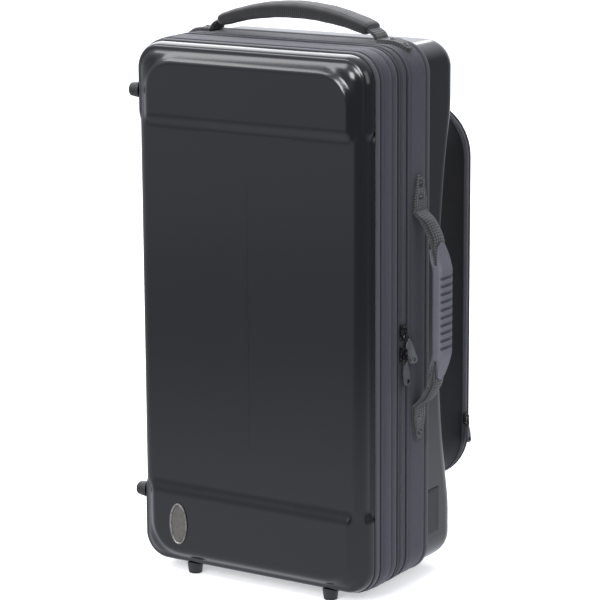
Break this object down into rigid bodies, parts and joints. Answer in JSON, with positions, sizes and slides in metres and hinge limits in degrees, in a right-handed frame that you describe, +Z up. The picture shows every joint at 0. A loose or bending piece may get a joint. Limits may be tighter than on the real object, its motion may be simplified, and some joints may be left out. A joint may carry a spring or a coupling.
{
  "type": "trumpet case",
  "caption": "Upright zip-closed hard case for three trumpets: glossy moulded half shells, fabric bands, side and top handles, rear music pocket, padded lanes inside.",
  "frame": {"origin": "middle of the whole case's box, on the ground under the feet", "axes": "+Z up, -Y towards the lid's front, +X towards the carrying handle"},
  "size_m": [0.3498, 0.256, 0.6422],
  "materials": {
    "shell_gloss_black": "polished moulded shell",
    "band_nylon": "woven nylon",
    "edge_binding": "woven tape",
    "zip_tape": "woven tape",
    "zip_coil": "nylon coil",
    "slider_metal": "black enamel",
    "pull_rubber": "matt",
    "rivet_metal": "blackened",
    "screw_metal": "zinc plated",
    "webbing": "ribbed webbing",
    "sleeve_webbing": "waffle webbing",
    "grip_rubber": "satin moulded",
    "foot_rubber": "matt",
    "badge_silver": "aged",
    "label_fabric": "woven",
    "pocket_fabric": "smooth coated nylon",
    "plush_lining": "plush",
    "plush_pad": "plush"
  },
  "bodies": {
    "base": {"base_shell": "shell_gloss_black", "base_band": "band_nylon", "base_piping": "edge_binding", "base_zip_tape": "zip_tape", "base_zip_chain": "zip_coil", "fabric_hinge": "band_nylon", "side_handle_upper_tab": "webbing", "side_handle_lower_tab": "webbing", "top_handle_left_tab": "webbing", "top_handle_right_tab": "webbing", "handle_rivets": "rivet_metal", "base_foot_screws": "screw_metal", "side_label": "label_fabric", "pocket_gusset": "pocket_fabric", "pocket_back_panel": "pocket_fabric", "pocket_gusset_zip": "zip_coil", "pocket_hinge": "band_nylon", "tray_floor": "plush_lining", "tray_surround": "plush_lining", "divider_left": "plush_pad", "divider_right": "plush_pad", "accessory_wall": "plush_lining", "mouthpiece_rack": "plush_pad", "base_foot_bottom_left": "foot_rubber", "base_foot_bottom_right": "foot_rubber", "base_foot_side_high": "foot_rubber", "base_foot_side_low": "foot_rubber"},
    "lid": {"lid_shell": "shell_gloss_black", "lid_band": "band_nylon", "lid_binding": "edge_binding", "lid_zip_tape": "zip_tape", "lid_zip_chain": "zip_coil", "lid_foot_screws": "screw_metal", "badge_plate": "badge_silver", "badge_rim": "badge_silver", "lid_liner": "plush_lining", "lid_cushion": "plush_pad", "lid_foot_bottom_left": "foot_rubber", "lid_foot_bottom_right": "foot_rubber", "lid_foot_side_high": "foot_rubber", "lid_foot_side_low": "foot_rubber"},
    "side_handle": {"side_handle_webbing": "webbing", "side_handle_grip": "grip_rubber"},
    "top_handle": {"top_handle_webbing": "webbing", "top_handle_sleeve": "sleeve_webbing"},
    "upper_slider": {"upper_slider": "slider_metal"},
    "lower_slider": {"lower_slider": "slider_metal"},
    "upper_pull": {"upper_pull_link": "slider_metal", "upper_pull_tab": "pull_rubber", "upper_pull_eyelet": "slider_metal"},
    "lower_pull": {"lower_pull_link": "slider_metal", "lower_pull_tab": "pull_rubber", "lower_pull_eyelet": "slider_metal"},
    "pocket_cover": {"pocket_cover": "pocket_fabric", "pocket_piping": "edge_binding", "pocket_cover_zip": "zip_coil"},
    "pocket_slider": {"pocket_slider": "slider_metal"},
    "pocket_pull": {"pocket_pull_link": "slider_metal", "pocket_pull_tab": "pull_rubber", "pocket_pull_eyelet": "slider_metal"}
  },
  "joints": [
    {"name": "lid_hinge", "type": "hinge", "parent": "base", "child": "lid", "pos_m": [-0.16805, -0.05095, 0.306], "axis": [0, 0, -1], "range_deg": [0, 110], "deforming": ["fabric_hinge"]},
    {"name": "side_handle_swing", "type": "hinge", "parent": "base", "child": "side_handle", "pos_m": [0.13905, -0.01795, 0.3159], "axis": [0, 0, 1], "range_deg": [-35, 50], "deforming": ["side_handle_webbing"]},
    {"name": "top_handle_swing", "type": "hinge", "parent": "base", "child": "top_handle", "pos_m": [-0.01465, -0.01795, 0.6085], "axis": [-1, 0, 0], "range_deg": [-24, 24], "deforming": ["top_handle_webbing"]},
    {"name": "upper_slider_travel", "type": "slide", "parent": "base", "child": "upper_slider", "axis": [0, 0, 1], "range_m": [0, 0.265]},
    {"name": "lower_slider_travel", "type": "slide", "parent": "base", "child": "lower_slider", "axis": [0, 0, -1], "range_m": [0, 0.221]},
    {"name": "upper_pull_swing", "type": "hinge", "parent": "upper_slider", "child": "upper_pull", "pos_m": [0.14155, -0.05095, 0.294], "axis": [0, -0.9135, -0.4067], "range_deg": [0, 120]},
    {"name": "lower_pull_swing", "type": "hinge", "parent": "lower_slider", "child": "lower_pull", "pos_m": [0.14155, -0.05095, 0.2704], "axis": [0, -1, 0], "range_deg": [0, 120]},
    {"name": "pocket_cover_hinge", "type": "hinge", "parent": "base", "child": "pocket_cover", "pos_m": [-0.1556, 0.11355, 0.303], "axis": [0, 0, 1], "range_deg": [0, 100], "deforming": ["pocket_hinge"]},
    {"name": "pocket_slider_travel", "type": "slide", "parent": "base", "child": "pocket_slider", "axis": [0, 0, 1], "range_m": [0, 0.293]},
    {"name": "pocket_pull_swing", "type": "hinge", "parent": "pocket_slider", "child": "pocket_pull", "pos_m": [0.12865, 0.11355, 0.1594], "axis": [0, -1, 0], "range_deg": [0, 120]}
  ]
}
